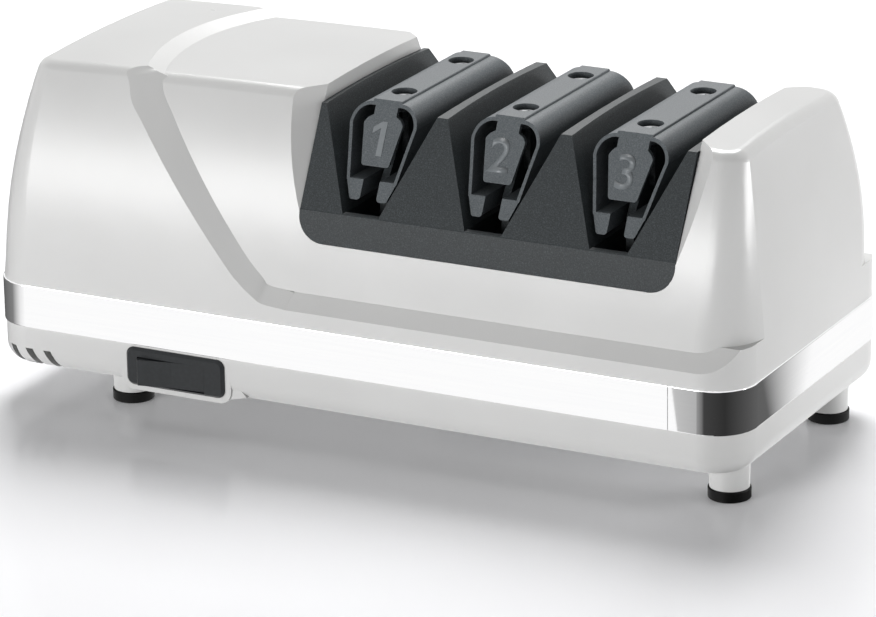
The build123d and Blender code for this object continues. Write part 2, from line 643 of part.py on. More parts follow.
def guide_shape(i):
    # half widths of a guide: pad, arch, foot of the crown, tongue's neck and blade
    last = i == STAGES - 1
    pad = LAST_PAD_HALF if last else PAD_HALF
    arch = LAST_ARCH_HALF if last else ARCH_HALF
    neck = (LAST_TONGUE_NECK if last else TONGUE_NECK) / 2
    wide = (LAST_TONGUE_WIDE if last else TONGUE_WIDE) / 2
    arch_z = PAD_TOP_Z - PAD_RAISE - (arch - pad)
    foot = arch - (arch - ARM_FOOT_X) * (arch_z - SHOULDER_Z) / (arch_z - ARM_FOOT_Z)
    return pad, arch, foot, neck, wide


def arch_form(i, inset, low):
    # horseshoe section of a guide, from its foot at SHOULDER_Z or below it
    pad, arch, foot, neck, wide = guide_shape(i)
    s = stage_x(i)
    r = arch - pad
    z = PAD_TOP_Z - PAD_RAISE - r
    r = r - inset
    d = r * math.sqrt(0.5)
    foot = foot - inset
    edges = [
        Line((s - foot, 0, low), (s - foot, 0, SHOULDER_Z)),
        Line((s - foot, 0, SHOULDER_Z), (s - pad - r, 0, z)),
        ThreePointArc((s - pad - r, 0, z), (s - pad - d, 0, z + d), (s - pad, 0, z + r)),
        Line((s - pad, 0, z + r), (s + pad, 0, z + r)),
        ThreePointArc((s + pad, 0, z + r), (s + pad + d, 0, z + d), (s + pad + r, 0, z)),
        Line((s + pad + r, 0, z), (s + foot, 0, SHOULDER_Z)),
        Line((s + foot, 0, SHOULDER_Z), (s + foot, 0, low)),
        Line((s + foot, 0, low), (s - foot, 0, low)),
    ]
    return extrude(make_face(edges), amount=DEPTH, dir=(0, 1, 0), both=True)


def tongue(i):
    pad, arch, foot, neck, wide = guide_shape(i)
    s = stage_x(i)
    tip = TONGUE_TIP / 2
    points = [
        (s - neck, PAD_TOP_Z - 1.2), (s + neck, PAD_TOP_Z - 1.2), (s + neck, TONGUE_NECK_Z),
        (s + wide - 1, TONGUE_NECK_Z - 0.9), (s + wide, TONGUE_WIDE_Z), (s + tip, TONGUE_TIP_Z),
        (s - tip, TONGUE_TIP_Z), (s - wide, TONGUE_WIDE_Z), (s - wide + 1, TONGUE_NECK_Z - 0.9),
        (s - neck, TONGUE_NECK_Z),
    ]
    sheet = prism_y(points, -PAD_Y - 25, -PAD_Y + 4)
    corners = sheet.edges().filter_by(Axis.Y).sort_by(Axis.Z)
    sheet = fillet(corners[:6], 1.0)
    reach = PAD_Y + (PAD_TOP_Z - SLOT_FLOOR_Z) * GUIDE_LEAN
    deep = TONGUE_SHEET / math.cos(math.radians(GUIDE_LEAN_DEG))
    plate = prism_x([
        (-PAD_Y, PAD_TOP_Z), (-PAD_Y + deep, PAD_TOP_Z), (-reach + deep, SLOT_FLOOR_Z), (-reach, SLOT_FLOOR_Z),
    ], s - 20, s + 20)
    return sheet & plate


def guide_crown(i):
    pad, arch, foot, neck, wide = guide_shape(i)
    s = stage_x(i)
    crest = box(s - pad, s + pad, -PAD_Y - 20, PAD_Y + 20, PAD_TOP_Z - PAD_RAISE - 1, PAD_TOP_Z)
    crest = fillet(crest.edges().filter_by(Axis.Y).sort_by(Axis.Z)[-2:], 0.35)
    form = arch_form(i, 0, SHOULDER_Z - 1) - box(s - 20, s + 20, -DEPTH, DEPTH, 0, SHOULDER_Z)
    form = form + crest - arch_form(i, CROWN_THICK, SHOULDER_Z - 2)
    for side in (-1, 1):
        form = form + rod_z(s, side * HOLE_Y, PAD_UNDER_Z, PAD_TOP_Z - PAD_RAISE - 0.3, BOSS_R)
    form = form & guide_trim()
    form = form + tongue(i) + mirror(tongue(i), Plane.XZ)
    for side in (-1, 1):
        form = form - rod_z(s, side * HOLE_Y, HOLE_FLOOR_Z, PAD_TOP_Z + 1, HOLE_R)
        form = form - rod_z(s, side * HOLE_Y, PAD_UNDER_Z - 1, HOLE_FLOOR_Z + 1, SCREW_R + CLEAR)
        knuckle = ARM_ROUND + FIT
        form = form - rod_y(s + side * arm_pivot_x(i), -DEPTH, DEPTH, ARM_PIVOT_Z, knuckle)
    return form


ARM_ROUND = CROWN_THICK / 2
ARM_PIVOT_Z = SHOULDER_Z - 0.2


def arm_pivot_x(i):
    return guide_shape(i)[2] - 0.55


def guide_arm(i, side):
    s = stage_x(i)
    pivot = arm_pivot_x(i)
    leg = prism_y([
        (s + side * (pivot + ARM_ROUND), ARM_PIVOT_Z), (s + side * (pivot - ARM_ROUND), ARM_PIVOT_Z),
        (s + side * (ARM_FOOT_X - CROWN_THICK), ARM_FOOT_Z - 0.5), (s + side * ARM_FOOT_X, ARM_FOOT_Z - 0.5),
    ], -DEPTH, DEPTH)
    foot = prism_y([
        (s + side * ARM_FOOT_X, ARM_FOOT_Z), (s + side * ARM_INNER_X, ARM_FOOT_Z),
        (s + side * ARM_INNER_X, ARM_SOLE_Z), (s + side * ARM_SOLE_X, ARM_SOLE_Z),
    ], -DEPTH, DEPTH)
    soles = foot.edges().filter_by(Axis.Y).sort_by(Axis.Z)[:2]
    foot = fillet(soles, 1.0)
    knuckle = rod_y(s + side * pivot, -DEPTH, DEPTH, ARM_PIVOT_Z, ARM_ROUND)
    form = (leg + foot + knuckle) & guide_trim()
    radius = POLISH_DISC_R if i == STAGES - 1 else DISC_R
    return form - rod_x(s - 20, s + 20, 0, SHAFT_Z, radius + 1.2)


# ---------------------------------------------------------------- spindle
def stage_disc(i, side):
    s = stage_x(i)
    radius = POLISH_DISC_R if i == STAGES - 1 else DISC_R
    bore = SHAFT_R + FIT
    points = [
        (DISC_HUB_IN, bore), (DISC_HUB_OUT, bore), (DISC_HUB_OUT + 0.1, DISC_HUB_R),
        (DISC_RIM_OUT, radius), (DISC_RIM_IN, radius), (DISC_WEB_IN, DISC_HUB_R + 2.4),
        (DISC_WEB_IN, DISC_HUB_R), (DISC_HUB_IN, DISC_HUB_R),
    ]
    wire = Polyline(*[(s + side * u, 0, SHAFT_Z + r) for u, r in points], close=True)
    disc = revolve(make_face(wire), axis=Axis((0, 0, SHAFT_Z), (1, 0, 0)))
    keyway = box(s + side * (DISC_HUB_IN - 1), s + side * (DISC_HUB_OUT + 1), -KEY_WIDTH / 2 - CLEAR,
                 KEY_WIDTH / 2 + CLEAR, SHAFT_Z, SHAFT_Z + SHAFT_R + KEY_HEIGHT + CLEAR)
    return disc - keyway


def disc_spring(i):
    s = stage_x(i)
    mean_r = DISC_HUB_R + 0.2 + SPRING_WIRE / 2
    height = 2 * (DISC_WEB_IN - DISC_TRAVEL) - SPRING_WIRE
    path = Helix(pitch=height / 2.5, height=height, radius=mean_r)
    end = Plane(origin=path @ 0, z_dir=path % 0)
    coil = sweep(end * Circle(SPRING_WIRE / 2), path=path)
    return Pos(s - height / 2, 0, SHAFT_Z) * Rot(0, 90, 0) * coil


def drive_keys():
    reach = DISC_HUB_OUT - 0.3
    keys = [box(stage_x(i) - reach, stage_x(i) + reach, -KEY_WIDTH / 2, KEY_WIDTH / 2,
                SHAFT_Z + SHAFT_R - 0.8, SHAFT_Z + SHAFT_R + KEY_HEIGHT) for i in range(STAGES)]
    return keys


def shaft():
    form = rod_x(SHAFT_LEFT_X, SHAFT_RIGHT_X, 0, SHAFT_Z, SHAFT_R)
    form = chamfer(form.edges().filter_by(GeomType.CIRCLE), 0.5)
    for key in drive_keys():
        form = form - key
    return form


def retaining_rings():
    rings = []
    for i in range(STAGES):
        for side in (-1, 1):
            x = stage_x(i) + side * (DISC_HUB_OUT + FIT)
            ring = rod_x(x, x + side * 0.6, 0, SHAFT_Z, SHAFT_R + 2.2)
            ring = ring - rod_x(x - 1, x + 1, 0, SHAFT_Z, SHAFT_R + 0.02)
            gap = box(x - 1, x + 1, -1.2, 1.2, SHAFT_Z - 8, SHAFT_Z)
            rings.append(ring - gap)
    return Compound(children=rings)


def rotor_core():
    core = rod_x(CORE_LEFT_X, CORE_RIGHT_X, 0, SHAFT_Z, ROTOR_R)
    bar_r = 1.1
    for k in range(12):
        angle = math.radians(30 * k)
        y = (ROTOR_R - 2) * math.cos(angle)
        z = SHAFT_Z + (ROTOR_R - 2) * math.sin(angle)
        core = core - rod_x(CORE_LEFT_X - 1, CORE_RIGHT_X + 1, y, z, bar_r)
    return core - rod_x(CORE_LEFT_X - 1, CORE_RIGHT_X + 1, 0, SHAFT_Z, SHAFT_R)


def rotor_cage():
    bar_r = 1.1
    ends = []
    for x, way in ((CORE_LEFT_X, -1), (CORE_RIGHT_X, 1)):
        ring = rod_x(x, x + way * 3, 0, SHAFT_Z, ROTOR_R - 0.5) - rod_x(x - 4, x + 4, 0, SHAFT_Z, ROTOR_R - 5)
        ends.append(ring)
    cage = ends[0] + ends[1]
    for k in range(12):
        angle = math.radians(30 * k)
        y = (ROTOR_R - 2) * math.cos(angle)
        z = SHAFT_Z + (ROTOR_R - 2) * math.sin(angle)
        cage = cage + rod_x(CORE_LEFT_X - 1, CORE_RIGHT_X + 1, y, z, bar_r)
    return cage


def cooling_fan():
    x1 = FAN_LEFT_X + FAN_WIDTH
    hub = rod_x(FAN_LEFT_X, x1, 0, SHAFT_Z, SHAFT_R + 3)
    form = hub
    for k in range(FAN_BLADES):
        blade = Pos((FAN_LEFT_X + x1) / 2, 0, 0) * Rot(0, 0, 32) * box(
            -0.8, 0.8, -FAN_WIDTH / 2, FAN_WIDTH / 2, SHAFT_R + 1.5, FAN_R)
        blade = blade & box(FAN_LEFT_X, x1, -FAN_WIDTH, FAN_WIDTH, 0, FAN_R + 5)
        form = form + Pos(0, 0, SHAFT_Z) * Rot(360 / FAN_BLADES * k, 0, 0) * blade
    rim = rod_x(FAN_LEFT_X, FAN_LEFT_X + 1.6, 0, SHAFT_Z, FAN_R) - rod_x(
        FAN_LEFT_X - 1, x1, 0, SHAFT_Z, FAN_R - 2.5)
    form = form + rim
    return form - rod_x(FAN_LEFT_X - 1, x1 + 1, 0, SHAFT_Z, SHAFT_R)


# ---------------------------------------------------------------- motor
def stator_core():
    core = box(CORE_LEFT_X, CORE_RIGHT_X, CORE_FRONT_Y, CORE_BACK_Y, CORE_BOTTOM_Z, CORE_TOP_Z)
    core = fillet(core.edges().filter_by(Axis.X), 3.0)
    core = core - rod_x(CORE_LEFT_X - 1, CORE_RIGHT_X + 1, 0, SHAFT_Z, ROTOR_R + AIR_GAP)
    half = WINDOW_HEIGHT / 2
    core = core - box(CORE_LEFT_X - 1, CORE_RIGHT_X + 1, WINDOW_FRONT_Y, LEG_FRONT_Y, SHAFT_Z - half, SHAFT_Z + half)
    for x, y in CORE_SCREWS:
        core = core - rod_z(x, y, CORE_BOTTOM_Z - 1, CORE_BOTTOM_Z + 6, SCREW_R)
    for z in BOLT_Z:
        core = core - rod_x(CORE_LEFT_X - 1, CORE_RIGHT_X + 1, 0, z, SCREW_R)
    return core


BOLT_Z = (CORE_BOTTOM_Z + 6.5, CORE_TOP_Z - 6.5)
FORMER_WALL = 1.0


def around_leg(grow_x, grow_front, grow_back, z0, z1):
    return box(CORE_LEFT_X - grow_x, CORE_RIGHT_X + grow_x, LEG_FRONT_Y - grow_front, CORE_BACK_Y + grow_back, z0, z1)


def coil_former():
    half = WINDOW_HEIGHT / 2 - FIT
    z0 = SHAFT_Z - half
    z1 = SHAFT_Z + half
    wall = FORMER_WALL
    sleeve = around_leg(wall, wall, wall, z0, z1)
    deep = COIL_BUILD + 1.2
    top = around_leg(deep, deep, deep, z1 - wall, z1)
    bottom = around_leg(deep, deep, deep, z0, z0 + wall)
    return (sleeve + top + bottom) - around_leg(FIT, FIT, FIT, z0 - 1, z1 + 1)


def field_coil():
    half = WINDOW_HEIGHT / 2 - FIT - FORMER_WALL
    z0 = SHAFT_Z - half + FIT
    z1 = SHAFT_Z + half - FIT
    wall = FORMER_WALL + FIT
    coil = around_leg(COIL_BUILD, COIL_BUILD, COIL_BUILD, z0, z1)
    coil = fillet(coil.edges().filter_by(Axis.Z), 4.0)
    return coil - around_leg(wall, wall, wall, z0 - 1, z1 + 1)


def motor_bracket(x, way):
    half = BRACKET_WIDTH / 2
    far = x + way * BRACKET_REACH
    form = box(x, far, -half, half, CORE_BOTTOM_Z + 1, CORE_TOP_Z - 1)
    room = box(x - way, far - way * BRACKET_THICK, -half - 1, half + 1, CORE_BOTTOM_Z + 3.5, CORE_TOP_Z - 3.5)
    ears = box(x, x + way * BRACKET_THICK, -half, half, CORE_BOTTOM_Z + 1, CORE_BOTTOM_Z + 11)
    ears = ears + box(x, x + way * BRACKET_THICK, -half, half, CORE_TOP_Z - 11, CORE_TOP_Z - 1)
    form = (form - room) + ears
    form = form + rod_x(far, far - way * 6, 0, SHAFT_Z, BUSH_R + 2.5)
    form = form - rod_x(far + way, far - way * 8, 0, SHAFT_Z, BUSH_R)
    for z in BOLT_Z:
        form = form - rod_x(x - 1, x + way * 4, 0, z, SCREW_R + FIT)
        form = form - rod_x(x - way, x + way * 4, 0, z, SCREW_R + FIT)
    return form


def motor_bush(x, way):
    far = x + way * BRACKET_REACH
    return rod_x(far, far - way * 6, 0, SHAFT_Z, BUSH_R - 0.02) - rod_x(far + 2, far - 10, 0, SHAFT_Z, SHAFT_R + 0.03) \
        if way > 0 else rod_x(far, far + 6, 0, SHAFT_Z, BUSH_R - 0.02) - rod_x(far - 2, far + 10, 0, SHAFT_Z, SHAFT_R + 0.03)


def motor_bolts():
    bolts = []
    for z in BOLT_Z:
        x0 = CORE_LEFT_X - BRACKET_THICK - 2 * FIT
        x1 = CORE_RIGHT_X + BRACKET_THICK + 2 * FIT
        bolt = rod_x(x0 - 2, x1 + 2, 0, z, SCREW_R - FIT) + rod_x(x0 - 2, x0, 0, z, SCREW_HEAD_R)
        bolt = bolt + extrude(Plane.YZ * Pos(0, z) * RegularPolygon(SCREW_HEAD_R, 6), amount=2).moved(Pos(x1, 0, 0))
        bolts.append(bolt)
    return Compound(children=bolts)


def end_bracket():
    x0 = END_BRACKET_X
    x1 = x0 + BRACKET_THICK
    seat = FLOOR_Z + 1.2 + FIT
    plate = box(x0, x1, -END_BRACKET_HALF, END_BRACKET_HALF, seat, SHAFT_Z + 10)
    plate = fillet(plate.edges().filter_by(Axis.X).sort_by(Axis.Z)[-2:], 8.0)
    flange = box(x0, x0 + 11.5, -END_BRACKET_HALF, END_BRACKET_HALF, seat, seat + BRACKET_THICK)
    form = plate + flange + rod_x(x0 - 2, x1, 0, SHAFT_Z, BUSH_R + 2.5)
    form = form - rod_x(x0 - 4, x1 + 4, 0, SHAFT_Z, BUSH_R)
    for x, y in BRACKET_SCREWS:
        form = form - rod_z(x, y, seat - 1, seat + BRACKET_THICK + 1, SCREW_R + CLEAR)
    return form


def end_bush():
    x0 = END_BRACKET_X - 2
    x1 = END_BRACKET_X + BRACKET_THICK
    return rod_x(x0, x1, 0, SHAFT_Z, BUSH_R - 0.02) - rod_x(x0 - 1, x1 + 1, 0, SHAFT_Z, SHAFT_R + 0.03)


# ---------------------------------------------------------------- fasteners
def screw_up(x, y, head_z, tip_z, r=SCREW_R):
    # head below, thread pointing up
    shank = rod_z(x, y, head_z + SCREW_HEAD / 2, tip_z, r - FIT)
    head = rod_z(x, y, head_z, head_z + SCREW_HEAD, SCREW_HEAD_R)
    cross = box(x - 2, x + 2, y - 0.35, y + 0.35, head_z - 1, head_z + 0.9)
    cross = cross + box(x - 0.35, x + 0.35, y - 2, y + 2, head_z - 1, head_z + 0.9)
    return shank + (head - cross)


def screw_down(x, y, head_z, tip_z, r=SCREW_R):
    shank = rod_z(x, y, tip_z, head_z + SCREW_HEAD / 2, r - FIT)
    head = rod_z(x, y, head_z, head_z + SCREW_HEAD, SCREW_HEAD_R)
    top = head_z + SCREW_HEAD
    cross = box(x - 2, x + 2, y - 0.35, y + 0.35, top - 0.9, top + 1)
    cross = cross + box(x - 0.35, x + 0.35, y - 2, y + 2, top - 0.9, top + 1)
    return shank + (head - cross)


# ---------------------------------------------------------------- switch
def switch_bezel():
    width = BEZEL_RIGHT_X - BEZEL_LEFT_X
    height = BEZEL_TOP_Z - BEZEL_BOTTOM_Z
    centre_x = (BEZEL_LEFT_X + BEZEL_RIGHT_X) / 2
    centre_z = (BEZEL_BOTTOM_Z + BEZEL_TOP_Z) / 2
    profile = Plane.XZ * Pos(centre_x, centre_z) * RectangleRounded(width, height, BEZEL_CORNER)
    plate = extrude(profile, amount=BEZEL_THICK).moved(Pos(0, -HALF_Y - FIT, 0))
    front = plate.faces().sort_by(Axis.Y)[0]
    plate = chamfer(front.edges(), 0.8)
    room = box(ROCKER_X - ROCKER_WINDOW / 2, ROCKER_X + ROCKER_WINDOW / 2, -HALF_Y - 5, -HALF_Y + 5,
               ROCKER_Z - ROCKER_HEIGHT / 2 - 0.2, ROCKER_Z + ROCKER_HEIGHT / 2 + 0.2)
    return plate - room


def rocker_pivot():
    return ROCKER_X, -HALF_Y + ROCKER_PIVOT_DEEP


def switch_rocker():
    x, y = rocker_pivot()
    reach = ROCKER_WINDOW / 2 - 0.15
    half = ROCKER_HEIGHT / 2
    low = ROCKER_Z - half
    outline = Polyline((-13, -3.0, 0), (0, -2.1, 0), (13, -3.0, 0), (13, 3.0, 0), (-13, 3.0, 0), close=True)
    form = extrude(make_face(outline), amount=ROCKER_HEIGHT) & Pos(0, 0, half) * Cylinder(reach, ROCKER_HEIGHT)
    front = form.edges().filter_by(Axis.Z).sort_by(Axis.Y)[0:2]
    form = fillet(front, 0.6)
    form = form + Pos(0, 0, half) * Cylinder(1.0, ROCKER_HEIGHT + 0.8)
    return Pos(x, y, low) * Rot(0, 0, ROCKER_TILT_DEG) * form


def switch_body():
    x, y = rocker_pivot()
    body = box(SWITCH_LEFT_X, SWITCH_RIGHT_X, -HALF_Y, -HALF_Y + SWITCH_DEEP, SWITCH_LOW_Z, SWITCH_HIGH_Z)
    room = box(ROCKER_X - ROCKER_WINDOW / 2, ROCKER_X + ROCKER_WINDOW / 2, -HALF_Y - 1, y + 8,
               ROCKER_Z - ROCKER_HEIGHT / 2 - 0.15, ROCKER_Z + ROCKER_HEIGHT / 2 + 0.15)
    return body - room - rod_z(x, y, ROCKER_Z - ROCKER_HEIGHT / 2 - 0.42, ROCKER_Z + ROCKER_HEIGHT / 2 + 0.42, 1.04)


TERMINAL_X = (-68.0, -60.7, -53.0)
BLADE_HALF = 2.6


def switch_terminals():
    back = -HALF_Y + SWITCH_DEEP
    blades = []
    for x in TERMINAL_X:
        blade = box(x - 0.4, x + 0.4, back + 0.01, back + 8, ROCKER_Z - BLADE_HALF, ROCKER_Z + BLADE_HALF)
        blades.append(blade - rod_x(x - 2, x + 2, back + 6, ROCKER_Z, 0.8))
    return Compound(children=blades)


# ---------------------------------------------------------------- wiring and cover
WIRE_R = 1.1


def wire(points, bend_r=4.0):
    path = FilletPolyline(*points, radius=bend_r)
    end = Plane(origin=path @ 0, z_dir=path % 0)
    return sweep(end * Circle(WIRE_R), path=path)


def motor_leads():
    # one lead from the switch to the terminal block, one to the coil
    y = -HALF_Y + SWITCH_DEEP + 4.5
    low = ROCKER_Z + BLADE_HALF + FIT
    run = low + 4.2
    beside = y + 2.9
    block_x = CORE_LEFT_X - 11
    coil_x = CORE_LEFT_X - 4.5
    first = wire([(TERMINAL_X[0], y, low), (TERMINAL_X[0], y, run), (block_x, y, run),
                  (block_x, 5, FLOOR_Z + 4.5), (block_x, BLOCK_Y - 3 - FIT, FLOOR_Z + 4.5)], 3.0)
    second = wire([(TERMINAL_X[1], beside, low), (TERMINAL_X[1], beside, run), (coil_x, beside, run),
                   (coil_x, CORE_BACK_Y - 2, run), (coil_x, CORE_BACK_Y - 2, SHAFT_Z - WINDOW_HEIGHT / 2)], 3.0)
    return Compound(children=[first, second])


BLOCK_Y = 32.0
BLOCK_X = (CORE_LEFT_X - 12.5, CORE_LEFT_X - 3.5)


def terminal_block():
    middle = CORE_LEFT_X - 8
    form = box(middle - 9, middle + 9, BLOCK_Y - 3, BLOCK_Y + 5, FLOOR_Z + FIT, FLOOR_Z + 8.2)
    for x in BLOCK_X:
        form = form - rod_z(x, BLOCK_Y + 1, FLOOR_Z + 4, FLOOR_Z + 10, 2.2)
    return form


def block_screws():
    return Compound(children=[rod_z(x, BLOCK_Y + 1, FLOOR_Z + 4.02, FLOOR_Z + 7.5, 2.15) - box(
        x - 3, x + 3, BLOCK_Y + 0.6, BLOCK_Y + 1.4, FLOOR_Z + 6.7, FLOOR_Z + 10) for x in BLOCK_X])


def cord_gland():
    y1 = HALF_Y
    form = rod_y(GLAND_X, y1 - 7, y1 + 0.5, GLAND_Z, GLAND_R)
    flange = rod_y(GLAND_X, y1 + 0.02, y1 + 0.5, GLAND_Z, GLAND_R + 1.2)
    nut = extrude(Plane.XZ * Pos(GLAND_X, GLAND_Z) * RegularPolygon(GLAND_R + 1.1, 6), amount=-2.2)
    nut = nut.moved(Pos(0, y1 - WALL - 2.25, 0))
    return form + flange + nut - rod_y(GLAND_X, y1 - 9, y1 + 3, GLAND_Z, GLAND_R - 1.1)


def filings_cover():
    top = BASE_BOTTOM_Z - CLEAR
    form = box(COVER_LEFT_X, COVER_LEFT_X + COVER_LENGTH, -COVER_HALF, COVER_HALF, top - COVER_THICK, top)
    grip_z = top - COVER_THICK
    for k in range(4):
        x = COVER_LEFT_X + COVER_LENGTH - 8 - 4 * k
        form = form + box(x - 0.8, x + 0.8, -9, 9, grip_z - 1.0, grip_z + 0.2)
    return form


def filings_magnet():
    middle = COVER_LEFT_X + COVER_LENGTH / 2
    return box(middle - 16, middle + 16, COVER_HALF + 4, COVER_HALF + 10, FLOOR_Z + FIT, FLOOR_Z + 4)


def foot_ring(x, side):
    ring = rod_z(x, side * FOOT_Y, 0, FOOT_HEIGHT, FOOT_R)
    ring = fillet(ring.edges().filter_by(GeomType.CIRCLE), 0.4)
    return ring - rod_z(x, side * FOOT_Y, 0.95, FOOT_HEIGHT + 1, SPIGOT_R + FIT)


# ---------------------------------------------------------------- write every node
def main():
    save("top_housing", top_housing())
    save("base_shell", base_shell())
    save("trim_band", trim_band())
    save("guide_insert", guide_insert())
    for i in range(STAGES):
        n = str(i + 1)
        save("guide_crown_" + n, guide_crown(i))
        save("guide_arm_" + n + "_left", guide_arm(i, -1))
        save("guide_arm_" + n + "_right", guide_arm(i, 1))
        save("sharpening_disc_" + n + "_left", stage_disc(i, -1))
        save("sharpening_disc_" + n + "_right", stage_disc(i, 1))
        save("disc_spring_" + n, disc_spring(i))
    save("spindle_shaft", shaft())
    save("drive_keys", Compound(children=drive_keys()))
    save("retaining_rings", retaining_rings())
    save("rotor_core", rotor_core())
    save("rotor_cage", rotor_cage())
    save("cooling_fan", cooling_fan())
    save("stator_core", stator_core())
    save("coil_former", coil_former())
    save("field_coil", field_coil())
    save("motor_bracket_left", motor_bracket(CORE_LEFT_X - FIT, -1))
    save("motor_bracket_right", motor_bracket(CORE_RIGHT_X + FIT, 1))
    bushes = [motor_bush(CORE_LEFT_X - FIT, -1), motor_bush(CORE_RIGHT_X + FIT, 1)]
    save("motor_bushes", Compound(children=bushes))
    save("motor_bolts", motor_bolts())
    save("motor_screws", Compound(children=[screw_up(x, y, BASE_BOTTOM_Z + 2, CORE_BOTTOM_Z + 5) for x, y in CORE_SCREWS]))
    save("end_bracket", end_bracket())
    save("end_bush", end_bush())
    top = FLOOR_Z + 1.2 + 2 * FIT + BRACKET_THICK
    save("end_bracket_screws", Compound(children=[screw_down(x, y, top, BASE_BOTTOM_Z + 2) for x, y in BRACKET_SCREWS]))
    save("housing_screws", Compound(children=[screw_up(x, y, BASE_BOTTOM_Z + 2, 49) for x, y in HOUSING_SCREWS]))
    save("insert_screws", Compound(children=[
        screw_up(x, y, FLANGE_Z - SCREW_HEAD - FIT, OPENING_BOTTOM_Z + 7) for x, y in INSERT_SCREWS]))
    save("guide_screws", Compound(children=[
        screw_down(stage_x(i), side * HOLE_Y, HOLE_FLOOR_Z + FIT, 87.5, SCREW_R - 0.1)
        for i in range(STAGES) for side in (-1, 1)]))
    save("switch_bezel", switch_bezel())
    save("switch_rocker", switch_rocker())
    save("switch_body", switch_body())
    save("switch_terminals", switch_terminals())
    save("motor_leads", motor_leads())
    save("terminal_block", terminal_block())
    save("terminal_screws", block_screws())
    save("cord_gland", cord_gland())
    save("filings_cover", filings_cover())
    save("filings_magnet", filings_magnet())
    for x, where in ((FOOT_LEFT_X, "left"), (FOOT_RIGHT_X, "right")):
        save("foot_ring_front_" + where, foot_ring(x, -1))
        save("foot_ring_back_" + where, foot_ring(x, 1))


main()
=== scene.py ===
"""Three-stage electric knife sharpener: finishes, moulded numbers, studio and camera."""
import json
import math

import bmesh
import bpy
from mathutils import Matrix, Vector


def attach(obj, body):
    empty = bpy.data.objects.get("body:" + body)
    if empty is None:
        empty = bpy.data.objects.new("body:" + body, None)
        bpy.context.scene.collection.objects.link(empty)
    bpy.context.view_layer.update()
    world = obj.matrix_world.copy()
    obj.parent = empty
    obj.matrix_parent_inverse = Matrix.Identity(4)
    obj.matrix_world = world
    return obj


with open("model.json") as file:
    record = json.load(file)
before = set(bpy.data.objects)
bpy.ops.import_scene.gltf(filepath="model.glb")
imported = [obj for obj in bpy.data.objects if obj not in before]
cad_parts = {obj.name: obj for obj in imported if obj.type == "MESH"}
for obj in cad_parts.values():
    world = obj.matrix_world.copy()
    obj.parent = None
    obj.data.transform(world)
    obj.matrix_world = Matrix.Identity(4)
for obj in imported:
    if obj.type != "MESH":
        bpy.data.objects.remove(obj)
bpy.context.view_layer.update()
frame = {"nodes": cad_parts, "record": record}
MM = 0.001

# ---------------------------------------------------------------- the object's own sizes, as the CAD has them
STAGE_X = (0.8 * MM, 40.8 * MM, 80.8 * MM)
GUIDE_LEAN = math.radians(27.6)
PAD_FRONT_Y = -28.4 * MM
PAD_TOP_Z = 103.0 * MM

# the raised numbers on the guides' tongues
NUMBER_TALL = 10.4 * MM
NUMBER_RISE = 0.14 * MM
NUMBER_Z = 92.6 * MM
NUMBER_LEFT = 0.7 * MM


# ---------------------------------------------------------------- nodes
def linear(code):
    """An sRGB hex colour as a linear RGBA."""
    parts = [int(code[i:i + 2], 16) / 255 for i in (1, 3, 5)]
    return [c / 12.92 if c <= 0.04045 else ((c + 0.055) / 1.055) ** 2.4 for c in parts] + [1.0]


def add(tree, kind, inputs=None, **settings):
    """A node with its settings; an input that is a socket is linked, and any other is a value."""
    made = tree.nodes.new(kind)
    for name, value in settings.items():
        setattr(made, name, value)
    for name, value in (inputs or {}).items():
        if isinstance(value, bpy.types.NodeSocket):
            tree.links.new(value, made.inputs[name])
        else:
            made.inputs[name].default_value = value
    return made


def ramp(tree, factor, stops):
    """A colour ramp over factor, its stops given as (position, hex)."""
    made = add(tree, "ShaderNodeValToRGB", {"Fac": factor})
    band = made.color_ramp.elements
    while len(band) < len(stops):
        band.new(0.5)
    for element, (position, code) in zip(band, stops):
        element.position = position
        element.color = linear(code)
    return made.outputs["Color"]


def spread(tree, factor, low, high):
    """factor, which runs from 0 to 1, mapped to low ... high."""
    made = add(tree, "ShaderNodeMapRange", {"Value": factor, "To Min": low, "To Max": high})
    return made.outputs["Result"]


def start(name, **constants):
    """An empty material with a Principled surface; its constants sit on the shader's own sockets."""
    made = bpy.data.materials.new(name)
    made.use_nodes = True
    tree = made.node_tree
    tree.nodes.clear()
    shader = add(tree, "ShaderNodeBsdfPrincipled")
    for key, value in constants.items():
        shader.inputs[key.replace("_", " ")].default_value = value
    add(tree, "ShaderNodeOutputMaterial", {"Surface": shader.outputs["BSDF"]})
    place = add(tree, "ShaderNodeTexCoord").outputs["Object"]
    return made, tree, shader, place


def noise(tree, place, size_mm, detail=2.0, rough=0.5, stretch=None):
    """Noise whose features are about size_mm across, its coordinates first scaled by stretch."""
    if stretch:
        place = add(tree, "ShaderNodeMapping", {"Vector": place, "Scale": stretch}).outputs["Vector"]
    made = add(tree, "ShaderNodeTexNoise",
               {"Vector": place, "Scale": 1 / (size_mm * MM), "Detail": detail, "Roughness": rough})
    return made.outputs["Fac"]


def cells(tree, place, size_mm):
    """Voronoi cells about size_mm across."""
    return add(tree, "ShaderNodeTexVoronoi", {"Vector": place, "Scale": 1 / (size_mm * MM)})


def lines(tree, place, pitch_mm, wander, across):
    """Soft parallel lines, pitch_mm apart along the axis across."""
    scale = 1 / (pitch_mm * MM) / (2 * math.pi)
    made = add(tree, "ShaderNodeTexWave", {"Vector": place, "Scale": scale, "Distortion": wander},
               bands_direction=across)
    return made.outputs["Fac"]


def dress(tree, shader, field, stops, rough):
    """Colour and roughness that follow one field; rough is the roughness at 0 and at 1."""
    tree.links.new(ramp(tree, field, stops), shader.inputs["Base Color"])
    tree.links.new(spread(tree, field, *rough), shader.inputs["Roughness"])


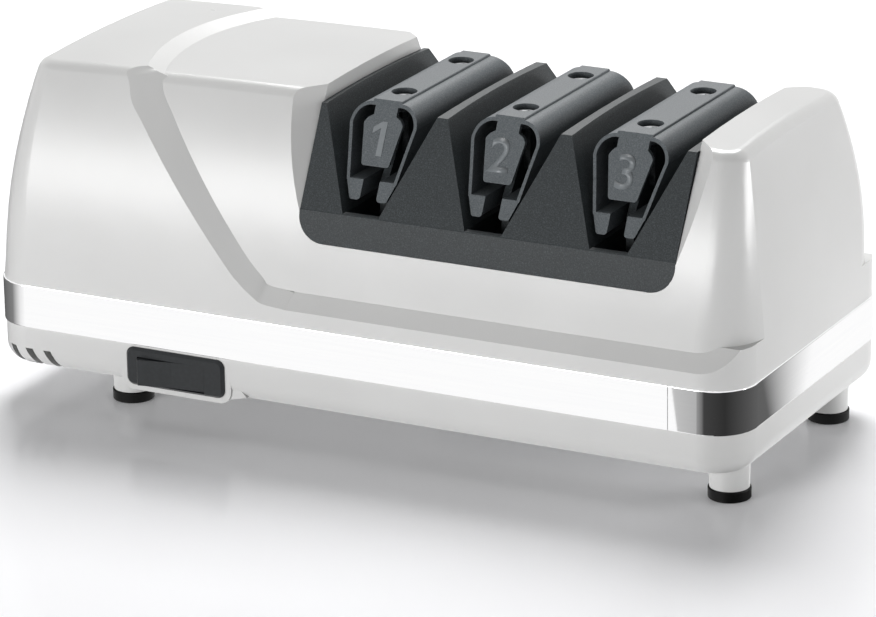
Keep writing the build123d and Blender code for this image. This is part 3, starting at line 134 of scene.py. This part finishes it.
def bump(tree, shader, height, depth_mm, strength=1.0):
    """Relief from a height field, depth_mm deep."""
    made = add(tree, "ShaderNodeBump", {"Height": height, "Distance": depth_mm * MM, "Strength": strength})
    tree.links.new(made.outputs["Normal"], shader.inputs["Normal"])


# ---------------------------------------------------------------- finishes
def plain_finish(name, dark, light, size_mm, rough, depth_mm, stretch=None, **constants):
    """Two near colours, a roughness range and a shallow relief, all from one noise."""
    made, tree, shader, place = start(name, **constants)
    field = noise(tree, place, size_mm, stretch=stretch)
    dress(tree, shader, field, ((0.3, dark), (0.7, light)), rough)
    bump(tree, shader, field, depth_mm)
    return made


def bare_metal(name, dark, light, size_mm, rough, depth_mm, stretch=None):
    """A plain finish on bare or plated metal."""
    return plain_finish(name, dark, light, size_mm, rough, depth_mm, stretch, Metallic=1.0)


def glossy_white_abs():
    # injection moulded ABS from a polished mould: bright even white, a faint orange-peel in its gloss
    cloud_mm, peel_mm, peel_deep_mm = 38.0, 2.6, 0.004
    made, tree, shader, place = start("glossy_white_abs", IOR=1.53)
    dress(tree, shader, noise(tree, place, cloud_mm), ((0.3, "#C7C7C6"), (0.7, "#CBCBCA")), (0.26, 0.32))
    bump(tree, shader, noise(tree, place, peel_mm), peel_deep_mm)
    return made


def mirror_polished_steel():
    # stainless strip, buffed along its length: a clear mirror with the faintest long drag lines
    drag_mm, drag_deep_mm, drawn_out = 0.9, 0.00005, (0.02, 0.02, 1.0)
    made, tree, shader, place = start("mirror_polished_steel", Metallic=1.0)
    drag = noise(tree, place, drag_mm, stretch=drawn_out)
    dress(tree, shader, drag, ((0.2, "#FAFAFB"), (0.8, "#FDFDFD")), (0.03, 0.04))
    bump(tree, shader, drag, drag_deep_mm)
    return made


def grained(name, dark, light, painted_highlight, grain_mm, rough, depth_mm):
    """Moulded plastic from a spark-eroded mould: a fine pebble grain whose tops are painted lighter, a
    painted highlight.
    """
    made, tree, shader, place = start(name, IOR=1.49, Specular_IOR_Level=0.3)
    pebble = cells(tree, place, grain_mm).outputs["Distance"]
    fine = noise(tree, place, grain_mm, detail=3.0, rough=0.7)
    height = add(tree, "ShaderNodeMath", {0: fine, 1: pebble}, operation="SUBTRACT").outputs["Value"]
    # the highest grain tops take the lightest stop: a painted highlight
    dress(tree, shader, fine, ((0.32, dark), (0.52, light), (0.72, painted_highlight)), rough)
    bump(tree, shader, height, depth_mm, strength=0.7)
    return made


def coated_disc(name, dark, light, grit_mm, metallic, rough):
    """Grit bonded on a disc: each grain glints, so colour, gloss and relief follow the same cells."""
    made, tree, shader, place = start(name, Metallic=metallic)
    grit = cells(tree, place, grit_mm)
    value = add(tree, "ShaderNodeSeparateColor", {"Color": grit.outputs["Color"]}).outputs["Red"]
    dress(tree, shader, value, ((0.1, dark), (0.9, light)), rough)
    bump(tree, shader, grit.outputs["Distance"], depth_mm=0.03, strength=0.6)
    return made


def stacked_sheets():
    # 0.5 mm silicon steel sheets pressed together, their edges showing as fine lines across the length
    made, tree, shader, place = start("stacked_silicon_steel", Metallic=0.9)
    sheets = lines(tree, place, pitch_mm=0.5, wander=0.2, across="X")
    dress(tree, shader, sheets, ((0.1, "#3C4044"), (0.9, "#71767B")), (0.55, 0.38))
    bump(tree, shader, sheets, depth_mm=0.05)
    return made


def wound_copper():
    # enamelled wire laid turn by turn: amber gloss over copper, one ridge for each turn, with painted shade
    # in the grooves between turns and lighter colour on each ridge
    made, tree, shader, place = start("enamelled_copper_winding", Metallic=0.85, Coat_Weight=0.6)
    turns_and_groove_shade = lines(tree, place, pitch_mm=0.45, wander=0.6, across="Z")
    dress(tree, shader, turns_and_groove_shade, ((0.1, "#6E2F14"), (0.9, "#C9793F")), (0.45, 0.28))
    bump(tree, shader, turns_and_groove_shade, depth_mm=0.12)
    return made


FINISHES = {
    "white_housing": glossy_white_abs(),
    "polished_trim": mirror_polished_steel(),
    # anthracite polypropylene from a grained mould: dark and dull, coarse enough to show at this size
    "grained_insert": grained("grained_anthracite_pp", "#15191B", "#23282A", "#43494C",
                              grain_mm=0.38, rough=(0.47, 0.58), depth_mm=0.05),
    # the same grain on the springy guides, in glass-filled nylon, a shade lighter
    "grained_guide": grained("grained_guide_nylon", "#44494C", "#565B5E", "#6C7174",
                             grain_mm=0.38, rough=(0.45, 0.56), depth_mm=0.04),
    # nickel-bonded diamond: hard bright glints
    "diamond_disc": coated_disc("nickel_bonded_diamond", "#7D8083", "#B9BBBD",
                                grit_mm=0.35, metallic=0.8, rough=(0.32, 0.52)),
    # rubber-bonded polishing grit: pale and dull
    "polishing_disc": coated_disc("bonded_polishing_grit", "#C9C9C6", "#E4E4E1",
                                  grit_mm=0.5, metallic=0.0, rough=(0.5, 0.7)),
    # moulded nylon from a smooth mould: near black with a soft sheen
    "black_switch": plain_finish("satin_black_nylon", "#15181A", "#1B1E21", 1.2, (0.30, 0.38), 0.006,
                                 IOR=1.53, Specular_IOR_Level=0.3),
    # moulded nitrile rubber: the blackest part, almost without a highlight
    "black_rubber": plain_finish("black_nitrile_rubber", "#050505", "#0A0A0A", 0.8, (0.42, 0.58), 0.02,
                                 IOR=1.52, Specular_IOR_Level=0.1),
    # zinc plate: bright, a little clouded
    "plated_screws": bare_metal("zinc_plated_steel", "#A4A7A9", "#BFC1C2", 0.9, (0.26, 0.40), 0.006),
    # drawn wire: greyer, with a fine skin
    "spring_steel": bare_metal("drawn_spring_steel", "#7C7F82", "#A2A5A7", 0.4, (0.28, 0.42), 0.005),
    # ground round the shaft's axis: fine rings, drawn 0.15 mm wide so that they show
    "ground_steel": bare_metal("ground_steel", "#B2B4B5", "#CDCECF", 0.15, (0.22, 0.34), 0.004,
                               stretch=(1.0, 0.1, 0.1)),
    # tin plate on brass: a warm dull silver
    "plated_terminals": bare_metal("tin_plated_brass", "#B9B6AC", "#D2CFC4", 0.8, (0.25, 0.4), 0.006),
    "electrical_steel": stacked_sheets(),
    # die cast aluminium: pale grey with a dull cast skin
    "cast_aluminium": bare_metal("die_cast_aluminium", "#A7A9AB", "#C3C5C7", 0.7, (0.40, 0.56), 0.03),
    # filled nylon: flat mid grey
    "grey_nylon": plain_finish("natural_grey_nylon", "#8E9194", "#9A9DA0", 1.4, (0.42, 0.54), 0.01, IOR=1.53),
    "enamelled_copper": wound_copper(),
    # pressed and sintered bronze: brown gold, dulled by its pores
    "bronze_bush": bare_metal("sintered_bronze", "#8E6A35", "#B28A4B", 0.3, (0.42, 0.58), 0.012),
    # extruded PVC: an even red with a waxy gloss
    "wire_insulation": plain_finish("wire_insulation_pvc", "#8E2320", "#A62C27", 1.5, (0.32, 0.42), 0.008,
                                    IOR=1.53),
    # pressed and fired ferrite: dull dark grey
    "ferrite_magnet": plain_finish("pressed_ferrite", "#2B2B2D", "#3E3E40", 0.6, (0.62, 0.78), 0.02),
}
# the numbers are polished in the mould, so they are smoother than the grain round them, and they are coloured
# lighter
NUMBER_FINISH = plain_finish("smooth_guide_nylon", "#6E7376", "#767B7E", 1.5, (0.36, 0.44), 0.004, IOR=1.53)

SLOT_OF = {part["node"]: part["material_slot"] for part in frame["record"]["subparts"]}
for name, piece in frame["nodes"].items():
    for holder in piece.material_slots:
        holder.material = FINISHES[SLOT_OF[name]]


# ---------------------------------------------------------------- moulded numbers on the guides
def written(text):
    """A number in the built-in font, made a little bolder."""
    bolder = 0.012
    curve = bpy.data.curves.new("number_" + text, "FONT")
    curve.body = text
    curve.resolution_u = 6
    curve.offset = bolder
    return curve


def flagged_one():
    """A 1 with its flag, in the font's own units, because the built-in font's 1 is a bare stroke."""
    stroke, tall, flag_out, flag_drop = 0.125, 0.71, 0.17, 0.13
    flag_start, flag_end = 0.1 * stroke, 1.1 * stroke
    curve = bpy.data.curves.new("number_1", "CURVE")
    curve.dimensions = "2D"
    curve.fill_mode = "BOTH"
    line = curve.splines.new("POLY")
    corners = ((0, 0), (stroke, 0), (stroke, tall), (flag_start, tall), (-flag_out, tall - flag_drop),
               (-flag_out, tall - flag_drop - stroke), (0, tall - flag_end))
    line.points.add(len(corners) - 1)
    for point, (x, y) in zip(line.points, corners):
        point.co = (x, y, 0, 1)
    line.use_cyclic_u = True
    return curve


def flat_number(text):
    """The number as a flat bmesh, in the font's own units."""
    weld = 1e-5
    curve = flagged_one() if text == "1" else written(text)
    holder = bpy.data.objects.new("number_holder", curve)
    bpy.context.scene.collection.objects.link(holder)
    bpy.context.view_layer.update()
    flat = bpy.data.meshes.new_from_object(holder.evaluated_get(bpy.context.evaluated_depsgraph_get()))
    bpy.data.objects.remove(holder)
    shape = bmesh.new()
    shape.from_mesh(flat)
    bmesh.ops.remove_doubles(shape, verts=shape.verts, dist=weld)
    return shape


def moulded_number(text, stage_x):
    """A raised number that lies on the leaning front of a guide's tongue."""
    shape = flat_number(text)
    corners = [v.co for v in shape.verts]
    low = Vector(map(min, *corners))
    high = Vector(map(max, *corners))
    scale = NUMBER_TALL / (high.y - low.y)
    bmesh.ops.translate(shape, verts=shape.verts, vec=-(low + high) / 2)
    bmesh.ops.scale(shape, verts=shape.verts, vec=(scale, scale, 1))
    raised = bmesh.ops.extrude_face_region(shape, geom=shape.faces[:])["geom"]
    front = [v for v in raised if isinstance(v, bmesh.types.BMVert)]
    bmesh.ops.translate(shape, verts=front, vec=(0, 0, NUMBER_RISE))
    bmesh.ops.recalc_face_normals(shape, faces=shape.faces)

    across = Vector((1, 0, 0))
    upward = Vector((0, math.sin(GUIDE_LEAN), math.cos(GUIDE_LEAN)))
    turn = Matrix((across, upward, across.cross(upward))).transposed().to_4x4()
    front_y = PAD_FRONT_Y - (PAD_TOP_Z - NUMBER_Z) * math.tan(GUIDE_LEAN)
    spot = Vector((stage_x - NUMBER_LEFT, front_y, NUMBER_Z))
    bmesh.ops.transform(shape, verts=shape.verts, matrix=Matrix.Translation(spot) @ turn)

    mesh = bpy.data.meshes.new("guide_number_" + text)
    shape.to_mesh(mesh)
    shape.free()
    made = bpy.data.objects.new("guide_number_" + text, mesh)
    bpy.context.scene.collection.objects.link(made)
    mesh.materials.append(NUMBER_FINISH)
    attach(made, "housing")


for text, stage_x in zip("123", STAGE_X):
    moulded_number(text, stage_x)


# ---------------------------------------------------------------- studio
TABLE_HALF = 4.0
TABLE_LIFT = 0.05                        # a little light of its own, which keeps the table top pale
WORLD_FILL = 0.08                        # the sky's light on the object; what is seen of the sky is 1, white
OBJECT_MIDDLE = Vector((0, 0, 50 * MM))

# Two fans of dark tones are painted into the table top's material, each round a front corner of the band, and
# shown to glossy and transmission rays only: a painted reflection. The band's mirror and the other gloss show
# them, so that the polished metal has dark corners to be told by.
PAINTED_REFLECTION_X, PAINTED_REFLECTION_Y = 116.0 * MM, -41.4 * MM
RIGHT_PAINTED_REFLECTION_TURN = math.radians(62.8)
RIGHT_PAINTED_REFLECTION = ((0.0, "#C0C0C0"), (0.06, "#404040"), (0.2, "#303030"), (0.5, "#606060"), (0.52, "#FFFFFF"))
LEFT_PAINTED_REFLECTION_TURN = math.radians(-68.0)
LEFT_PAINTED_REFLECTION = ((0.0, "#101010"), (0.1, "#606060"), (0.25, "#808080"), (0.35, "#FFFFFF"))


def seen_by(tree, *rays):
    """1 for a ray of any of the kinds named, and 0 for the others."""
    path = add(tree, "ShaderNodeLightPath")
    seen = path.outputs[rays[0]]
    for ray in rays[1:]:
        either = add(tree, "ShaderNodeMath", {0: seen, 1: path.outputs[ray]}, operation="MAXIMUM")
        seen = either.outputs["Value"]
    return seen


def painted_reflection_fan(tree, place, x, turned, stops):
    """Painted reflection: tones that change with the direction from a point on the table top."""
    spot = {"Vector": place, "Location": (x, PAINTED_REFLECTION_Y, 0), "Rotation": (0, 0, turned)}
    turn = add(tree, "ShaderNodeMapping", spot, vector_type="TEXTURE")
    fan = add(tree, "ShaderNodeTexGradient", {"Vector": turn.outputs["Vector"]}, gradient_type="RADIAL")
    return ramp(tree, fan.outputs["Fac"], stops)


def white_table_with_painted_reflections():
    # lacquered board: plain and pale, with a blurred mirror image of what stands on it
    made, tree, shader, place = start(
        "white_table_with_painted_reflections", IOR=1.5, Base_Color=linear("#FAFAFC"), Roughness=0.16, Specular_IOR_Level=0.2,
        Emission_Color=linear("#FFFFFF"), Emission_Strength=TABLE_LIFT)
    # painted reflection: glossy and transmission rays see these fans of dark tones in place of the table's
    # own surface
    right_reflection_paint = painted_reflection_fan(tree, place, PAINTED_REFLECTION_X, RIGHT_PAINTED_REFLECTION_TURN, RIGHT_PAINTED_REFLECTION)
    left_reflection_paint = painted_reflection_fan(tree, place, -PAINTED_REFLECTION_X, LEFT_PAINTED_REFLECTION_TURN, LEFT_PAINTED_REFLECTION)
    # inputs 6 and 7 and output 2 are a Mix node's colours
    both_painted_reflections = add(tree, "ShaderNodeMix", {"Factor": 1.0, 6: right_reflection_paint, 7: left_reflection_paint},
               data_type="RGBA", blend_type="MULTIPLY")
    painted_reflections = add(tree, "ShaderNodeEmission", {"Color": both_painted_reflections.outputs[2]})
    mixed = add(tree, "ShaderNodeMixShader", {0: seen_by(tree, "Is Glossy Ray", "Is Transmission Ray"),
                                              1: shader.outputs["BSDF"], 2: painted_reflections.outputs["Emission"]})
    tree.links.new(mixed.outputs["Shader"], tree.get_output_node("ALL").inputs["Surface"])
    return made


def table_top():
    """The floor, which keeps the object's shadow."""
    shape = bmesh.new()
    bmesh.ops.create_grid(shape, x_segments=2, y_segments=2, size=TABLE_HALF)
    mesh = bpy.data.meshes.new("table_top")
    shape.to_mesh(mesh)
    shape.free()
    floor = bpy.data.objects.new("table_top", mesh)
    bpy.context.scene.collection.objects.link(floor)
    mesh.materials.append(white_table_with_painted_reflections())


def studio_sky():
    """A white surround, of which only WORLD_FILL falls on the object as light."""
    world = bpy.data.worlds.new("studio_white")
    bpy.context.scene.world = world
    world.use_nodes = True
    sky = world.node_tree
    sky.nodes.clear()
    seen = seen_by(sky, "Is Camera Ray", "Is Glossy Ray", "Is Transmission Ray")
    glow = add(sky, "ShaderNodeBackground",
               {"Color": linear("#FFFFFF"), "Strength": spread(sky, seen, WORLD_FILL, 1.0)})
    add(sky, "ShaderNodeOutputWorld", {"Surface": glow.outputs["Background"]})


def soft_box(name, direction, distance, width, height, power):
    """A soft box that looks at the object's middle."""
    lamp = bpy.data.lights.new(name, "AREA")
    lamp.shape = "RECTANGLE"
    lamp.size = width
    lamp.size_y = height
    lamp.energy = power
    holder = bpy.data.objects.new(name, lamp)
    bpy.context.scene.collection.objects.link(holder)
    way = Vector(direction).normalized()
    holder.location = OBJECT_MIDDLE + way * distance
    holder.rotation_mode = "QUATERNION"
    holder.rotation_quaternion = way.to_track_quat("Z", "Y")


table_top()
studio_sky()
soft_box("soft_box_high_back", (-0.22, 0.56, 0.80), distance=1.5, width=0.75, height=0.75, power=25.0)
soft_box("soft_box_front_left", (-0.30, -0.94, 0.12), distance=1.6, width=1.2, height=0.45, power=18.0)
soft_box("soft_box_right", (0.90, 0.40, 0.10), distance=1.6, width=1.2, height=0.35, power=17.0)

# ---------------------------------------------------------------- camera
CAMERA_TURN = math.radians(27.691)
CAMERA_RISE = math.radians(18.774)
CAMERA_ROLL = math.radians(-0.91)
CAMERA_FAR = 1460.664 * MM
CAMERA_AIM = Vector((1.222, 0, 29.765)) * MM
FOCAL_PIXELS, IMAGE_WIDTH, SENSOR = 4825.109, 876, 36.0
NEAREST, FARTHEST = 0.05, 20.0

back = Vector((math.sin(CAMERA_TURN) * math.cos(CAMERA_RISE), -math.cos(CAMERA_TURN) * math.cos(CAMERA_RISE),
               math.sin(CAMERA_RISE)))
level_right = Vector((math.cos(CAMERA_TURN), math.sin(CAMERA_TURN), 0))
level_up = back.cross(level_right)
right = math.cos(CAMERA_ROLL) * level_right + math.sin(CAMERA_ROLL) * level_up
up = back.cross(right)
lens = bpy.data.cameras.new("camera")
lens.sensor_width = SENSOR
lens.lens = FOCAL_PIXELS * SENSOR / IMAGE_WIDTH
lens.clip_start, lens.clip_end = NEAREST, FARTHEST
camera = bpy.data.objects.new("camera", lens)
bpy.context.scene.collection.objects.link(camera)
turned = Matrix((right, up, back)).transposed().to_4x4()
camera.matrix_world = Matrix.Translation(CAMERA_AIM + back * CAMERA_FAR) @ turned
bpy.context.scene.camera = camera
bpy.context.scene.view_settings.view_transform = "Standard"
